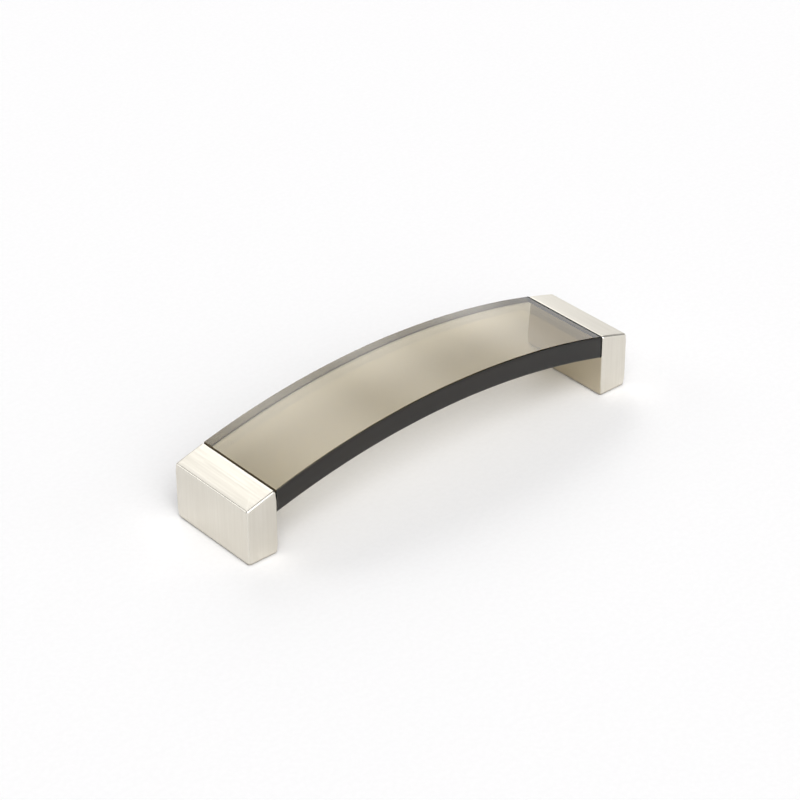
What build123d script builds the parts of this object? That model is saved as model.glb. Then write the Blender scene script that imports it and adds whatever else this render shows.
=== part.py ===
"""Arch pull for a cabinet door or drawer front.

A clear smoked acrylic bar, bent to a shallow arc, is bonded between two upright metal end
posts. The posts' tops carry on the bar's arc, and each foot is drilled for a machine screw
that comes through the door. The origin lies on the mounting surface, midway between the two
screws, with +X along the pull and +Z away from the door.
"""

import os
from math import radians, sqrt, tan

from build123d import *

# Driving dimensions, in millimetres and degrees
hole_spacing = 128.0  # between the axes of the two mounting screws
post_thickness = 9.8  # each post, measured along the pull
pull_width = 31.2  # across the pull, posts and bar alike
crown_height = 27.6  # from the mounting surface to the top of the arc
arc_radius = 232.0  # of the bar's top, which the posts' tops carry on
bar_thickness = 6.8  # square to the arc
post_edge_radius = 0.6  # every edge of a post except those of its foot
foot_edge_radius = 1.0
bar_edge_radius = 0.5
thread_drill_diameter = 3.3  # tapping drill of the screw's thread
thread_drill_depth = 12.0  # to the end of the full diameter
thread_mouth_diameter = 4.4  # chamfer that leads the screw in
drill_point_angle = 118.0
mouth_chamfer_angle = 90.0

# Places that follow from them
inner_face_x = (hole_spacing - post_thickness) / 2
outer_face_x = (hole_spacing + post_thickness) / 2
screw_x = hole_spacing / 2
arc_centre_z = crown_height - arc_radius


def arc_height(x, radius):
    """Height above the mounting surface of an arc of this radius about the pull's arc centre."""
    return arc_centre_z + sqrt(radius**2 - x**2)


def arc_between(x_start, x_end, radius):
    """The stretch of that arc between two places along the pull."""
    x_middle = (x_start + x_end) / 2
    return ThreePointArc(*((x, arc_height(x, radius)) for x in (x_start, x_middle, x_end)))


def end_post(side):
    """One end post, side -1 at the left and +1 at the right: a block under the arc, drilled from its foot."""
    with BuildPart() as post:
        # The block's outline, seen from the front, and the block
        with BuildSketch(Plane.XZ):
            with BuildLine():
                top = arc_between(side * inner_face_x, side * outer_face_x, arc_radius)
                Polyline(top @ 1, (side * outer_face_x, 0), (side * inner_face_x, 0), top @ 0)
            make_face()
        extrude(amount=pull_width / 2, both=True)

        # Softened edges, rounder about the foot
        foot_edges = post.faces().sort_by(Axis.Z)[0].edges()
        fillet(post.edges() - foot_edges, radius=post_edge_radius)
        fillet(post.faces().sort_by(Axis.Z)[0].edges(), radius=foot_edge_radius)

        # The screw's blind hole: a chamfered mouth, the tapping bore and the drill's point
        bore_radius = thread_drill_diameter / 2
        mouth_radius = thread_mouth_diameter / 2
        mouth_depth = (mouth_radius - bore_radius) / tan(radians(mouth_chamfer_angle / 2))
        point_height = bore_radius / tan(radians(drill_point_angle / 2))
        hole_plane = Plane.XZ.shift_origin((side * screw_x, 0, 0))
        with BuildSketch(hole_plane):
            with BuildLine():
                Polyline(
                    (0, 0),
                    (mouth_radius, 0),
                    (bore_radius, mouth_depth),
                    (bore_radius, thread_drill_depth),
                    (0, thread_drill_depth + point_height),
                    close=True,
                )
            make_face()
        revolve(axis=Axis(hole_plane.origin, hole_plane.y_dir), mode=Mode.SUBTRACT)
    return post.part


def arched_bar():
    """The grip: a flat bar bent to the arc, cut square to the pull where it meets the posts."""
    with BuildPart() as bar:
        with BuildSketch(Plane.XZ):
            with BuildLine():
                top = arc_between(-inner_face_x, inner_face_x, arc_radius)
                underside = arc_between(-inner_face_x, inner_face_x, arc_radius - bar_thickness)
                Line(top @ 0, underside @ 0)
                Line(top @ 1, underside @ 1)
            make_face()
        extrude(amount=pull_width / 2, both=True)
        fillet(bar.edges(), radius=bar_edge_radius)
    return bar.part


pieces = {
    "left_post": end_post(-1),
    "right_post": end_post(+1),
    "arched_bar": arched_bar(),
}

os.makedirs("parts", exist_ok=True)
for name, piece in pieces.items():
    piece.label = name
    export_step(piece, f"parts/{name}.step")
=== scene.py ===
"""Arch pull: a smoked acrylic bar between two satin nickel end posts, on a white sheet."""

import bpy
import numpy as np
from mathutils import Matrix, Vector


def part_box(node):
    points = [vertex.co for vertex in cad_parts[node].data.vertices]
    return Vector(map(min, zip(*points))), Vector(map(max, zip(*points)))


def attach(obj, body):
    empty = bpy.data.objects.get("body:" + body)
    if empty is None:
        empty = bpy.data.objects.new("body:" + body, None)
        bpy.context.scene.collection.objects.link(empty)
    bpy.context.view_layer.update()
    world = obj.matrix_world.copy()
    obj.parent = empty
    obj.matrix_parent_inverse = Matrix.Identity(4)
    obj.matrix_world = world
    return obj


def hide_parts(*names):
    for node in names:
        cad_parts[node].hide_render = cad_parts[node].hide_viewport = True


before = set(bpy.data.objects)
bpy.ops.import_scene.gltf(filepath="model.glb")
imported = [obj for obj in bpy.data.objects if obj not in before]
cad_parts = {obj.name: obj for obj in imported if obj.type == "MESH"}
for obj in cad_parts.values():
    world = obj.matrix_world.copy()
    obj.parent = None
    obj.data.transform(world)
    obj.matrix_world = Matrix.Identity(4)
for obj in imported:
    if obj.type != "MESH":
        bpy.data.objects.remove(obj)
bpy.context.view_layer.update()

# End posts
# Each is one zinc casting, brushed and plated in satin nickel. Its top carries on the bar's arc,
# its edges are rounded over, and the foot is drilled and tapped for the machine screw that comes
# through the door.
MM = 0.001
arc_radius = 232.0 * MM
wall_edge_radius = 0.45 * MM
top_edge_radius = 0.75 * MM
foot_edge_radius = 1.0 * MM
post_crease_angle = 35.0
post_steps = {"corner_steps": 10, "side_steps": 16}
top_edge_rings, foot_edge_rings = 13, 9
wall_easing_share = 0.12

# The M4 thread and its blind hole
thread_major_radius = 2.0 * MM
thread_minor_radius = 1.65 * MM
thread_pitch = 0.7 * MM
thread_steps_a_turn = 8
thread_mouth_radius = 2.2 * MM
thread_depth = 12.0 * MM
drill_point_angle = 118.0
drill_point_height = thread_minor_radius / np.tan(np.radians(drill_point_angle / 2))

# The nickel's colours: plain, clouded, brushed; painted shade inside, painted edge highlight, painted
# foot shade
nickel_tone = (0.735, 0.702, 0.628, 1)
clouded_tone = (0.715, 0.682, 0.608, 1)
stroke_tone = (0.69, 0.655, 0.58, 1)
# painted shade on the faces towards the other post
inner_painted_shade_tone = (0.56, 0.50, 0.385, 1)
# a painted highlight on the rounded edges
edge_painted_highlight_tone = (0.80, 0.775, 0.71, 1)
# painted shade on the foot's rounded edge
foot_painted_shade_tone = (0.42, 0.39, 0.33, 1)

# Its brushing: changes in a metre, how far they are drawn out, the relief and the roughness
stroke_scale = 2600.0
pass_scale = 420.0
cloud_scale = 130.0
draw_out = 0.02
stroke_relief = 0.02 * MM
brushed_roughness = (0.30, 0.38)
inner_roughness = 0.50
rubbed_roughness = 0.26

# The heights between which the edges' polish and painted highlight set in, and the foot's painted shade
polish_and_highlight_heights = (2.0 * MM, 4.0 * MM)
foot_painted_shade_heights = (1.1 * MM, 0.5 * MM)

crown_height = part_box("arched_bar")[1][2]
arc_centre_z = crown_height - arc_radius


def arc_height(x, radius):
    """Height of an arc about the pull's arc centre: the circle's equation solved for z."""
    return arc_centre_z + np.sqrt(radius**2 - x**2)


def rounded_outline(half_width, half_height, radii, corner_steps, side_steps):
    """A rounded rectangle as one closed loop, anticlockwise from the foot of its right side.

    Returns its points and their outward unit normals. Each quarter is a straight side, with a
    point close to each of its ends so that it shades flat, and then a quarter circle about a
    point one radius in from both sides. The radii are the upper pair's and the lower pair's.
    """
    margin = 0.0075
    ease = np.concatenate([[0.0], np.linspace(margin, 1 - margin, side_steps), [1.0]])
    angle = np.linspace(0, np.pi / 2, corner_steps + 1)[1:-1]
    upper, lower = radii
    corners_before_and_after = [(lower, upper), (upper, upper), (upper, lower), (lower, lower)]
    points, normals = [], []
    for quarter, (before, radius) in enumerate(corners_before_and_after):
        upright = quarter % 2 == 0
        ahead, aside = (half_width, half_height) if upright else (half_height, half_width)
        start, end = before - aside, aside - radius
        side = np.stack([np.full(len(ease), ahead), start + ease * (end - start)], 1)
        bend = np.stack([np.cos(angle), np.sin(angle)], 1)
        corner = np.array([ahead - radius, aside - radius]) + radius * bend
        straight = np.tile([1.0, 0.0], (len(ease), 1))
        turn = quarter * np.pi / 2
        swing = np.array([[np.cos(turn), np.sin(turn)], [-np.sin(turn), np.cos(turn)]])
        points.append(np.concatenate([side, corner]) @ swing)
        normals.append(np.concatenate([straight, bend]) @ swing)
    return np.concatenate(points), np.concatenate(normals)


def closed_skin(name, rings, first_pole, last_pole, crease_angle):
    """A closed mesh from rings of points of equal length, with a pole at either end.

    Neighbouring rings are joined by four-sided faces that wrap round, and the first and last
    rings by fans to their poles. It shades smooth except where faces meet at a sharper angle.
    """
    ring_count, ring_size, _ = rings.shape
    points = np.concatenate([[first_pole], rings.reshape(-1, 3), [last_pole]])
    here = np.arange(ring_size)
    after = np.roll(here, -1)
    start = 1 + np.arange(ring_count - 1)[:, None] * ring_size
    above = start + ring_size
    bands = np.stack([start + here, start + after, above + after, above + here], 2).reshape(-1, 4)
    last = len(points) - 1
    first_fan = np.stack([np.zeros(ring_size, int), 1 + after, 1 + here], 1)
    last_ring = last - ring_size
    last_fan = np.stack([np.full(ring_size, last), last_ring + here, last_ring + after], 1)
    mesh = bpy.data.meshes.new(name)
    mesh.from_pydata(points.tolist(), [], bands.tolist() + first_fan.tolist() + last_fan.tolist())
    mesh.polygons.foreach_set("use_smooth", np.ones(len(mesh.polygons), bool))
    mesh.set_sharp_from_angle(angle=np.radians(crease_angle))
    skin = bpy.data.objects.new(name, mesh)
    bpy.context.scene.collection.objects.link(skin)
    return skin


def smooth_step(share):
    """A share from 0 to 1 that starts and ends level: three times its square less twice its cube."""
    return share**2 * (3 - 2 * share)


def post_skin(node):
    """One post as rings of points: its top from a ridge outward, its walls, its foot and its hole.

    The rounded edge is a ball rolled round the rim of a core that lies one radius inside the
    walls and the arc, so each point is the rim's point plus the radius along a direction
    between the top's normal and the wall's. In the hole the radius is a triangle wave of
    height and bearing, one turn for each pitch, which makes the thread.
    """
    low, high = (np.array(corner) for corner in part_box(node))
    centre_x = (low[0] + high[0]) / 2
    half_x, half_y = (high[0] - low[0]) / 2, (high[1] - low[1]) / 2
    (top_outline, normal), (wall_outline, _), (foot_outline, _) = (
        rounded_outline(half_x, half_y, (radius, radius), **post_steps)
        for radius in (top_edge_radius, wall_edge_radius, foot_edge_radius)
    )
    wall_normal = np.column_stack([normal, np.zeros(len(normal))])

    # The rounded edge about the top
    rim = top_outline - normal * top_edge_radius
    rim_x = centre_x + rim[:, 0]
    rim_point = np.stack([rim_x, rim[:, 1], arc_height(rim_x, arc_radius - top_edge_radius)], 1)
    lean = rim_x / (arc_radius - top_edge_radius)
    top_normal = np.stack([lean, np.zeros(len(lean)), np.sqrt(1 - lean**2)], 1)
    between = np.arccos((top_normal * wall_normal).sum(1))[:, None]
    turn = np.linspace(0, 1, top_edge_rings)[:, None, None]
    top_part, wall_part = np.sin((1 - turn) * between), np.sin(turn * between)
    direction = (top_part * top_normal + wall_part * wall_normal) / np.sin(between)
    edge_rings = rim_point + top_edge_radius * direction

    # The top, from a ridge down its middle out to the rounded edge
    ridge_half = half_y - half_x
    ridge = np.stack([np.full(len(rim), centre_x), np.clip(rim[:, 1], -ridge_half, ridge_half)], 1)
    outward = np.concatenate([[0.004], np.linspace(0.1, 0.9, 9), [0.985]])[:, None, None]
    top_plan = ridge + (edge_rings[0][:, :2] - ridge) * outward
    top_rings = np.concatenate([top_plan, arc_height(top_plan[..., :1], arc_radius)], 2)

    # The foot's rounded edge
    foot_turn = np.linspace(0, np.pi / 2, foot_edge_rings)[:, None, None]
    foot_plan = foot_outline + [centre_x, 0] - normal * foot_edge_radius * (1 - np.cos(foot_turn))
    foot_height = foot_edge_radius * (1 - np.sin(foot_turn))
    foot_height = np.broadcast_to(foot_height, foot_plan.shape[:2] + (1,))
    foot_rings = np.concatenate([foot_plan, foot_height], 2)

    # The walls, whose upright edges are crisp except near the top and the foot
    fall = np.array([0.01, 0.04, 0.08, 0.12, 0.3, 0.5, 0.7, 0.88, 0.92, 0.96, 0.99])[:, None, None]
    wall_rings = edge_rings[-1] + (foot_rings[0] - edge_rings[-1]) * fall
    from_top, from_foot = (np.clip(way / wall_easing_share, 0, 1) for way in (fall, 1 - fall))
    crispness = smooth_step(from_top) * smooth_step(from_foot)
    wall_rings[..., :2] += (wall_outline + [centre_x, 0] - wall_rings[..., :2]) * crispness

    # The sole, in to the hole's mouth
    bearing = np.arctan2(foot_outline[:, 1], foot_outline[:, 0])
    circle = np.stack([np.cos(bearing), np.sin(bearing), np.zeros(len(bearing))], 1)
    axis = np.array([centre_x, 0, 0])
    mouth = axis + circle * thread_mouth_radius
    inward = np.array([0.02, 0.25, 0.5, 0.75, 0.98, 1.0])[:, None, None]
    sole_rings = foot_rings[-1] + (mouth - foot_rings[-1]) * inward

    # The thread, which runs in and out over one pitch, and the drill's point
    mouth_depth = thread_mouth_radius - thread_minor_radius
    height = np.arange(mouth_depth, thread_depth, thread_pitch / thread_steps_a_turn)[:, None]
    wave = np.abs(2 * ((height / thread_pitch - bearing / (2 * np.pi)) % 1.0) - 1)
    run_in = np.clip((height - mouth_depth) / thread_pitch, 0, 1)
    run_out = np.clip((thread_depth - height) / thread_pitch, 0, 1)
    thread_height = thread_major_radius - thread_minor_radius
    radius = thread_minor_radius + thread_height * wave * run_in * run_out
    up = np.array([0, 0, 1.0])
    thread_rings = axis + circle * radius[..., None] + up * height[..., None]
    tip_height = np.array([thread_depth, thread_depth + drill_point_height / 2])[:, None, None]
    tip_radius = np.array([thread_minor_radius, thread_minor_radius / 2])[:, None, None]
    tip_rings = axis + circle * tip_radius + up * tip_height

    outside = [top_rings, edge_rings, wall_rings, foot_rings, sole_rings]
    rings = np.concatenate(outside + [thread_rings, tip_rings])
    top_pole = [centre_x, 0, arc_height(centre_x, arc_radius)]
    tip_pole = [centre_x, 0, thread_depth + drill_point_height]
    return closed_skin(f"{node}_skin", rings[::-1], tip_pole, top_pole, post_crease_angle)


def shader_node(tree, kind, inputs, **settings):
    """Add a node to a material's tree. Each of its inputs is a value or another node's output."""
    made = tree.nodes.new(f"ShaderNode{kind}")
    for name, value in settings.items():
        setattr(made, name, value)
    for socket, value in inputs.items():
        if isinstance(value, bpy.types.NodeSocket):
            tree.links.new(value, made.inputs[socket])
        else:
            made.inputs[socket].default_value = value
    return made


def worked(tree, operation, *values):
    """The result of a sum, product or other plain step of arithmetic."""
    return shader_node(tree, "Math", dict(enumerate(values)), operation=operation).outputs[0]


def eased(tree, value, start, end, low=0.0, high=1.0):
    """A smooth step of a value, from low at the start to high at the end."""
    inputs = {"Value": value, "From Min": start, "From Max": end, "To Min": low, "To Max": high}
    return shader_node(tree, "MapRange", inputs, interpolation_type="SMOOTHSTEP").outputs["Result"]


def mixed(tree, kind, share, first, second):
    """A blend of two numbers or colours, all of the first at a share of 0 and of the second at 1."""
    first_socket, second_socket, result = {"FLOAT": (2, 3, 0), "RGBA": (6, 7, 2)}[kind]
    sockets = {0: share, first_socket: first, second_socket: second}
    return shader_node(tree, "Mix", sockets, data_type=kind).outputs[result]


def noise(tree, place, scale, detail):
    """Smooth random values about a half, which change over one part in scale of a metre."""
    inputs = {"Vector": place, "Scale": scale, "Detail": detail}
    return shader_node(tree, "TexNoise", inputs).outputs["Fac"]


def satin_nickel():
    """Warm white nickel over metal brushed upright on the walls and across the pull on the tops.

    The strokes are noise drawn out along them. They set the shine, a slight relief and a slight
    change of tone. The rounded edges are worn smoother, and their lighter tone is a painted
    highlight. The inner faces are duller, and their darker, browner tone is painted shade. The
    foot's rounded edge is darker: painted shade.
    """
    material = bpy.data.materials.new("satin_nickel")
    material.use_nodes = True
    tree = material.node_tree
    place = tree.nodes.new("ShaderNodeTexCoord").outputs
    facing = shader_node(tree, "SeparateXYZ", {0: place["Normal"]}).outputs
    spot = shader_node(tree, "SeparateXYZ", {0: place["Object"]}).outputs

    # The walls' noise and the tops', each drawn out along its strokes
    drawn_out_places = [
        shader_node(tree, "Mapping", {"Vector": place["Object"], "Scale": stretch}).outputs[0]
        for stretch in ((1, 1, draw_out), (1, draw_out, 1))
    ]
    on_top = eased(tree, facing["Z"], 0.6, 0.8)
    strokes, passes = (
        mixed(tree, "FLOAT", on_top, *(noise(tree, drawn, scale, detail) for drawn in drawn_out_places))
        for scale, detail in ((stroke_scale, 3.0), (pass_scale, 1.0))
    )
    clouds = noise(tree, place["Object"], cloud_scale, 2.0)

    # Where the surface is rounded, lies near the foot or faces the other post: the edges' polish
    # and painted highlight, the foot edge's painted shade, the inner faces' dullness and painted shade
    along, across, up = (worked(tree, "ABSOLUTE", facing[axis]) for axis in "XYZ")
    flatness = worked(tree, "MAXIMUM", worked(tree, "MAXIMUM", along, across), up)
    above_foot = eased(tree, spot["Z"], *polish_and_highlight_heights)
    # painted shade on the foot's rounded edge
    foot_painted_shade = eased(tree, spot["Z"], *foot_painted_shade_heights)
    # the rounded edges' polish and painted highlight, above the foot
    polish_and_highlight = worked(tree, "MULTIPLY", eased(tree, flatness, 0.94, 0.78), above_foot)
    # the faces towards the other post: duller, with painted shade
    inner = eased(tree, worked(tree, "MULTIPLY", spot["X"], facing["X"]), -0.03, -0.05)

    tone = mixed(tree, "RGBA", eased(tree, clouds, 0.35, 0.65), nickel_tone, clouded_tone)
    tone = mixed(tree, "RGBA", eased(tree, passes, 0.35, 0.65, 0.0, 0.5), tone, stroke_tone)
    tone = mixed(tree, "RGBA", eased(tree, strokes, 0.4, 0.6, 0.0, 0.5), tone, stroke_tone)
    # Painted shade on the inner faces, a painted highlight on the rounded edges, painted shade on the
    # foot's edge
    tone = mixed(tree, "RGBA", inner, tone, inner_painted_shade_tone)
    tone = mixed(tree, "RGBA", worked(tree, "MULTIPLY", polish_and_highlight, 0.6), tone, edge_painted_highlight_tone)
    tone = mixed(tree, "RGBA", foot_painted_shade, tone, foot_painted_shade_tone)
    roughness = eased(tree, strokes, 0.3, 0.7, *brushed_roughness)
    roughness = mixed(tree, "FLOAT", inner, roughness, inner_roughness)
    roughness = mixed(tree, "FLOAT", polish_and_highlight, roughness, rubbed_roughness)
    relief = shader_node(tree, "Bump", {"Height": strokes, "Strength": 0.5, "Distance": stroke_relief})

    metal = tree.nodes["Principled BSDF"].inputs
    metal["Metallic"].default_value = 1.0
    tree.links.new(tone, metal["Base Color"])
    tree.links.new(roughness, metal["Roughness"])
    tree.links.new(relief.outputs[0], metal["Normal"])
    return material


nickel = satin_nickel()
for node in ("left_post", "right_post"):
    post = post_skin(node)
    post.data.materials.append(nickel)
    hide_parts(node)
    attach(post, "root")

# Arched bar
# It is sawn from a thick sheet of smoked acrylic and bent warm over a former to a shallow arc. Its
# faces are polished, its sawn sides sanded and its long edges rounded over. Its square ends are
# bonded to the posts. The ends are matt and dark, and so is a narrow band round the bar by the right
# post.
bar_thickness = 6.8 * MM
bar_edge_radii = (0.5 * MM, 0.7 * MM)
bar_end_radius = 0.12 * MM
bond_thickness = 0.02 * MM
dark_band_width = 0.55 * MM
bar_crease_angle = 60.0
bar_steps = {"corner_steps": 12, "side_steps": 24}
bar_rings, bar_end_rings = 241, 7
bar_rings_reach = 0.9995
least_ring_gap = 0.02 * MM

# The acrylic's sanded sides and their painted shade, its polish and the smoke in its depth
# painted shade on the sawn sides
side_painted_shade_tone = (0.06, 0.056, 0.07, 1)
sanded_roughness = 0.5
handled_roughness = 0.04
handled_scale = 90.0
wave_scale = 60.0
wave_height = 0.05 * MM
acrylic_index = 1.49
smoke_tone = (0.53, 0.43, 0.15, 1)
smoke_density = 148.0

# The ends' matt colours, and how far below the end's top edge they change
grey_end_tone = (0.36, 0.35, 0.31, 1)
black_end_tone = (0.005, 0.005, 0.005, 1)
brown_end_lip_tone = (0.16, 0.125, 0.085, 1)
dark_band_tone = (0.03, 0.03, 0.028, 1)
end_roughness = 0.6
black_end_depths = (3.2 * MM, 2.9 * MM)
end_lip_depths = (0.6 * MM, 0.4 * MM)


def bar_skin():
    """The bar as an upright rounded section, carried along the arc from one end to the other.

    At each place along the pull the section reaches from the outer arc down to the inner one.
    Close to the ends it draws in by a quarter circle, and the ends are closed flat. Two shares
    are kept at its points: "matt_ends" is 1 on both ends and on the band, and "dark_band" is 1 on a
    narrow band by the right end.
    """
    end_x, half_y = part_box("arched_bar")[1][0] - bond_thickness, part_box("arched_bar")[1][1]
    turn = np.linspace(0, np.pi / 2, bar_end_rings)
    end_places = end_x - bar_end_radius * (1 - np.sin(turn))
    end_insets = bar_end_radius * (1 - np.cos(turn))
    between_ends = np.linspace(-1, 1, bar_rings) * (end_x - bar_end_radius) * bar_rings_reach

    # At the right end one ring lies just clear of the dark band, and two carry it
    dark_band_places = end_places[0] - dark_band_width * np.array([1.02, 1.0, 0.5])
    clear_of_dark_band = between_ends < dark_band_places[0] - least_ring_gap
    between_ends = np.concatenate([between_ends[clear_of_dark_band], dark_band_places])
    no_insets = np.zeros(len(between_ends))
    places = np.concatenate([-end_places[::-1], between_ends, end_places])[:, None, None]
    insets = np.concatenate([end_insets[::-1], no_insets, end_insets])[:, None, None]

    top = arc_height(places, arc_radius)
    underside = arc_height(places, arc_radius - bar_thickness)
    middle = (top + underside) / 2
    outline, normal = rounded_outline(half_y, bar_thickness / 2, bar_edge_radii, **bar_steps)
    section = outline - normal * insets
    stretch = (top - underside) / bar_thickness
    x = np.broadcast_to(places, section.shape[:2] + (1,))
    rings = np.concatenate([x, section[..., :1], middle + section[..., 1:] * stretch], 2)

    first_pole, last_pole = ([x, 0, z] for x, z in zip((-end_x, end_x), middle.ravel()[[0, -1]]))
    outward = np.array([0.3, 0.6, 0.96])[:, None, None]
    first_cap = first_pole + (rings[0] - first_pole) * outward
    last_cap = last_pole + (rings[-1] - last_pole) * outward[::-1]
    rings = np.concatenate([first_cap, rings, last_cap])
    skin = closed_skin("arched_bar_skin", rings, first_pole, last_pole, bar_crease_angle)

    cap_rings, dark_band_rings = len(outward), 2
    dark_band_start = len(rings) - cap_rings - bar_end_rings - dark_band_rings
    matt_ends, dark_band = np.zeros(len(rings)), np.zeros(len(rings))
    matt_ends[:cap_rings + 1] = 1
    matt_ends[dark_band_start:] = 1
    dark_band[dark_band_start:-cap_rings] = 1
    for name, share, pole_share in (("matt_ends", matt_ends, 1), ("dark_band", dark_band, 0)):
        shares = np.concatenate([[pole_share], np.repeat(share, rings.shape[1]), [pole_share]])
        skin.data.attributes.new(name, "FLOAT", "POINT").data.foreach_set("value", shares)
    return skin


def smoked_acrylic():
    """Polished clear acrylic, whose smoke is in its depth: it soaks up light along the way through.

    The sawn sides are finished with abrasive paper, so they are duller, and their dark tone is painted
    shade. The polish has faint waves, and dull spots from handling. The ends are matt: brown along
    the top edge, black below it and grey lower down. The band by the right end is black too.
    """
    material = bpy.data.materials.new("smoked_acrylic")
    material.use_nodes = True
    tree = material.node_tree
    place = tree.nodes.new("ShaderNodeTexCoord").outputs
    facing = shader_node(tree, "SeparateXYZ", {0: place["Normal"]}).outputs
    height = shader_node(tree, "SeparateXYZ", {0: place["Object"]}).outputs["Z"]

    # The sawn sides: duller, and dark with painted shade
    sanded_and_shaded = eased(tree, worked(tree, "ABSOLUTE", facing["Y"]), 0.55, 0.85)
    spots = noise(tree, place["Object"], handled_scale, 4.0)
    handled = eased(tree, spots, 0.4, 0.7, 0.0, handled_roughness)
    waves = noise(tree, place["Object"], wave_scale, 1.0)
    relief = shader_node(tree, "Bump", {"Height": waves, "Strength": 0.3, "Distance": wave_height})
    acrylic = tree.nodes["Principled BSDF"]
    clear = (1, 1, 1, 1)
    tree.links.new(mixed(tree, "RGBA", sanded_and_shaded, clear, side_painted_shade_tone), acrylic.inputs["Base Color"])
    roughness = mixed(tree, "FLOAT", sanded_and_shaded, handled, sanded_roughness)
    tree.links.new(roughness, acrylic.inputs["Roughness"])
    tree.links.new(relief.outputs[0], acrylic.inputs["Normal"])
    acrylic.inputs["IOR"].default_value = acrylic_index
    acrylic.inputs["Transmission Weight"].default_value = 1.0

    end_top = float(arc_height(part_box("arched_bar")[1][0], arc_radius))
    black_end_share, lip = (
        eased(tree, height, end_top - deep, end_top - shallow)
        for deep, shallow in (black_end_depths, end_lip_depths)
    )
    matt_ends, dark_band = (
        shader_node(tree, "Attribute", {}, attribute_name=name).outputs["Fac"]
        for name in ("matt_ends", "dark_band")
    )
    tone = mixed(tree, "RGBA", black_end_share, grey_end_tone, black_end_tone)
    tone = mixed(tree, "RGBA", lip, tone, brown_end_lip_tone)
    tone = mixed(tree, "RGBA", dark_band, tone, dark_band_tone)
    matt = {"Base Color": tone, "Roughness": end_roughness, "Specular IOR Level": 0.0}
    end_shader = shader_node(tree, "BsdfPrincipled", matt)
    surface = shader_node(tree, "MixShader", {0: matt_ends, 1: acrylic.outputs[0], 2: end_shader.outputs[0]})
    smoke = shader_node(tree, "VolumeAbsorption", {"Color": smoke_tone, "Density": smoke_density})
    tree.links.new(surface.outputs[0], tree.nodes["Material Output"].inputs["Surface"])
    tree.links.new(smoke.outputs[0], tree.nodes["Material Output"].inputs["Volume"])
    return material


bar = bar_skin()
bar.data.materials.append(smoked_acrylic())
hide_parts("arched_bar")
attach(bar, "root")

# Floor
# A seamless sheet of matt white paper, far larger than the pull and level with its feet, with
# the faint mottle of its fibres.
sheet_half = 3.0
paper_tone = (0.975, 0.97, 0.975, 1)
fibre_tone = (0.96, 0.955, 0.96, 1)
fibre_scale = 700.0


def white_paper():
    """Matt white, slightly darker where noise of a fibre's scale is high."""
    material = bpy.data.materials.new("white_paper")
    material.use_nodes = True
    tree = material.node_tree
    place = tree.nodes.new("ShaderNodeTexCoord").outputs["Object"]
    fibres = eased(tree, noise(tree, place, fibre_scale, 4.0), 0.35, 0.65)
    paper = tree.nodes["Principled BSDF"].inputs
    tree.links.new(mixed(tree, "RGBA", fibres, paper_tone, fibre_tone), paper["Base Color"])
    paper["Roughness"].default_value = 1.0
    paper["Specular IOR Level"].default_value = 0.0
    return material


sheet_corners = [(x * sheet_half, y * sheet_half, 0) for x, y in ((-1, -1), (1, -1), (1, 1), (-1, 1))]
sheet = bpy.data.meshes.new("floor")
sheet.from_pydata(sheet_corners, [], [(0, 1, 2, 3)])
sheet.materials.append(white_paper())
floor = bpy.data.objects.new("floor", sheet)
bpy.context.scene.collection.objects.link(floor)

# Light
# Round soft boxes about a white table: a large one over the photographer's shoulder, one high on
# the left, and a row of small ones behind the pull that its tops mirror. Low white walls light no
# dull surface, and only show behind the pull, in its reflections and through it.
soft_boxes = (
    # bearing, elevation and half width in degrees, and strength
    (73, 48, 18, 1.75),
    (62, 36, 16, 2.0),
    (51, 23, 16, 1.85),
    (42, 10, 15, 1.45),
    (0, 8, 30, 0.8),
    (100, 50, 14, 0.8),
    (130, 29, 18, 2.1),
    (150, 72, 26, 0.9),
    (-48, 18, 24, 1.4),
    (-112, 47, 45, 2.5),
    (-120, 50, 22, 3.4),
)
wall_top, wall_fade = np.sin(np.radians([9.0, 20.0]))


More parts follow.
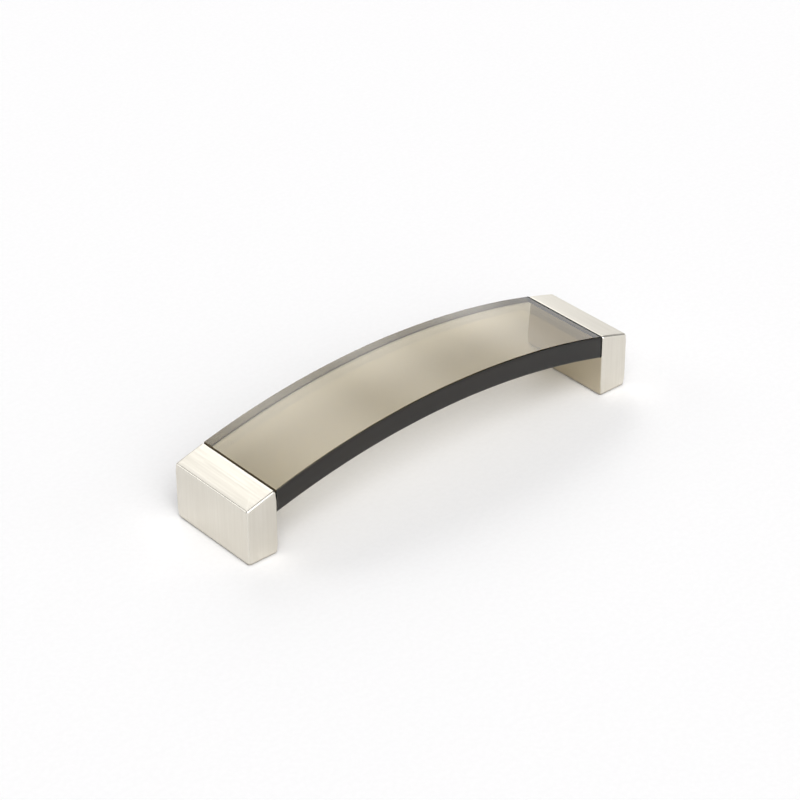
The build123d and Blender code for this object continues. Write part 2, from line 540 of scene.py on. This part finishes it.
def studio_sky():
    """The sky's strength: the sum of the boxes, each fading smoothly from its middle to its rim.

    A look in a mirror or through the acrylic sees at least the white walls, up to their top, and
    the camera sees white all round.
    """
    sky = bpy.data.worlds.new("studio")
    bpy.context.scene.world = sky
    sky.use_nodes = True
    tree = sky.node_tree
    direction = tree.nodes.new("ShaderNodeTexCoord").outputs["Generated"]
    total = 0.0
    for bearing, elevation, half_width, strength in soft_boxes:
        around, up, rim = np.radians([bearing, elevation, half_width])
        middle = (np.cos(around) * np.cos(up), np.sin(around) * np.cos(up), np.sin(up))
        facing = shader_node(tree, "VectorMath", {0: direction, 1: middle}, operation="DOT_PRODUCT")
        box = eased(tree, facing.outputs["Value"], np.cos(rim), 1.0, 0.0, strength)
        total = worked(tree, "ADD", total, box)

    look = shader_node(tree, "LightPath", {}).outputs
    passed_on = worked(tree, "MAXIMUM", look["Is Glossy Ray"], look["Is Transmission Ray"])
    height = shader_node(tree, "SeparateXYZ", {0: direction}).outputs["Z"]
    walls = worked(tree, "MULTIPLY", passed_on, eased(tree, height, wall_fade, wall_top))
    white = worked(tree, "MAXIMUM", walls, look["Is Camera Ray"])
    background = tree.nodes["Background"].inputs
    tree.links.new(worked(tree, "MAXIMUM", total, white), background["Strength"])
    background["Color"].default_value = (1, 1, 1, 1)


studio_sky()

# Camera
# It looks down from the front left, as the photograph does. Its bearing, fall, roll, place and
# lens come from the pull's own corners.
view_bearing = np.radians(49.3939)
view_fall = np.radians(32.0280)
view_roll = np.radians(-0.3104)
lens_in_pixels = 2644.34
picture_side = 800
film_width = 36.0
nearest_seen = 10.0 * MM

# The pull's origin as the camera sees it: how far right, up and away
origin_in_view = np.array([2.6762, -13.4423, 738.4544]) * MM

along_ground = np.array([np.cos(view_bearing), np.sin(view_bearing), 0.0])
down = np.array([0.0, 0.0, -1.0])
forward = np.cos(view_fall) * along_ground + np.sin(view_fall) * down
level = np.cross(along_ground, -down)
upright = np.cross(level, forward)
rightward = np.cos(view_roll) * level + np.sin(view_roll) * upright
upward = np.cos(view_roll) * upright - np.sin(view_roll) * level
axes = np.stack([rightward, upward, -forward], 1)
placing = np.eye(4)
placing[:3, :3] = axes
placing[:3, 3] = -axes @ (origin_in_view * [1, 1, -1])

camera_data = bpy.data.cameras.new("camera")
camera_data.sensor_width = film_width
camera_data.lens = lens_in_pixels / picture_side * film_width
camera_data.clip_start = nearest_seen
camera = bpy.data.objects.new("camera", camera_data)
bpy.context.scene.collection.objects.link(camera)
camera.matrix_world = Matrix(placing.tolist())
bpy.context.scene.camera = camera
bpy.context.scene.view_settings.view_transform = "Standard"
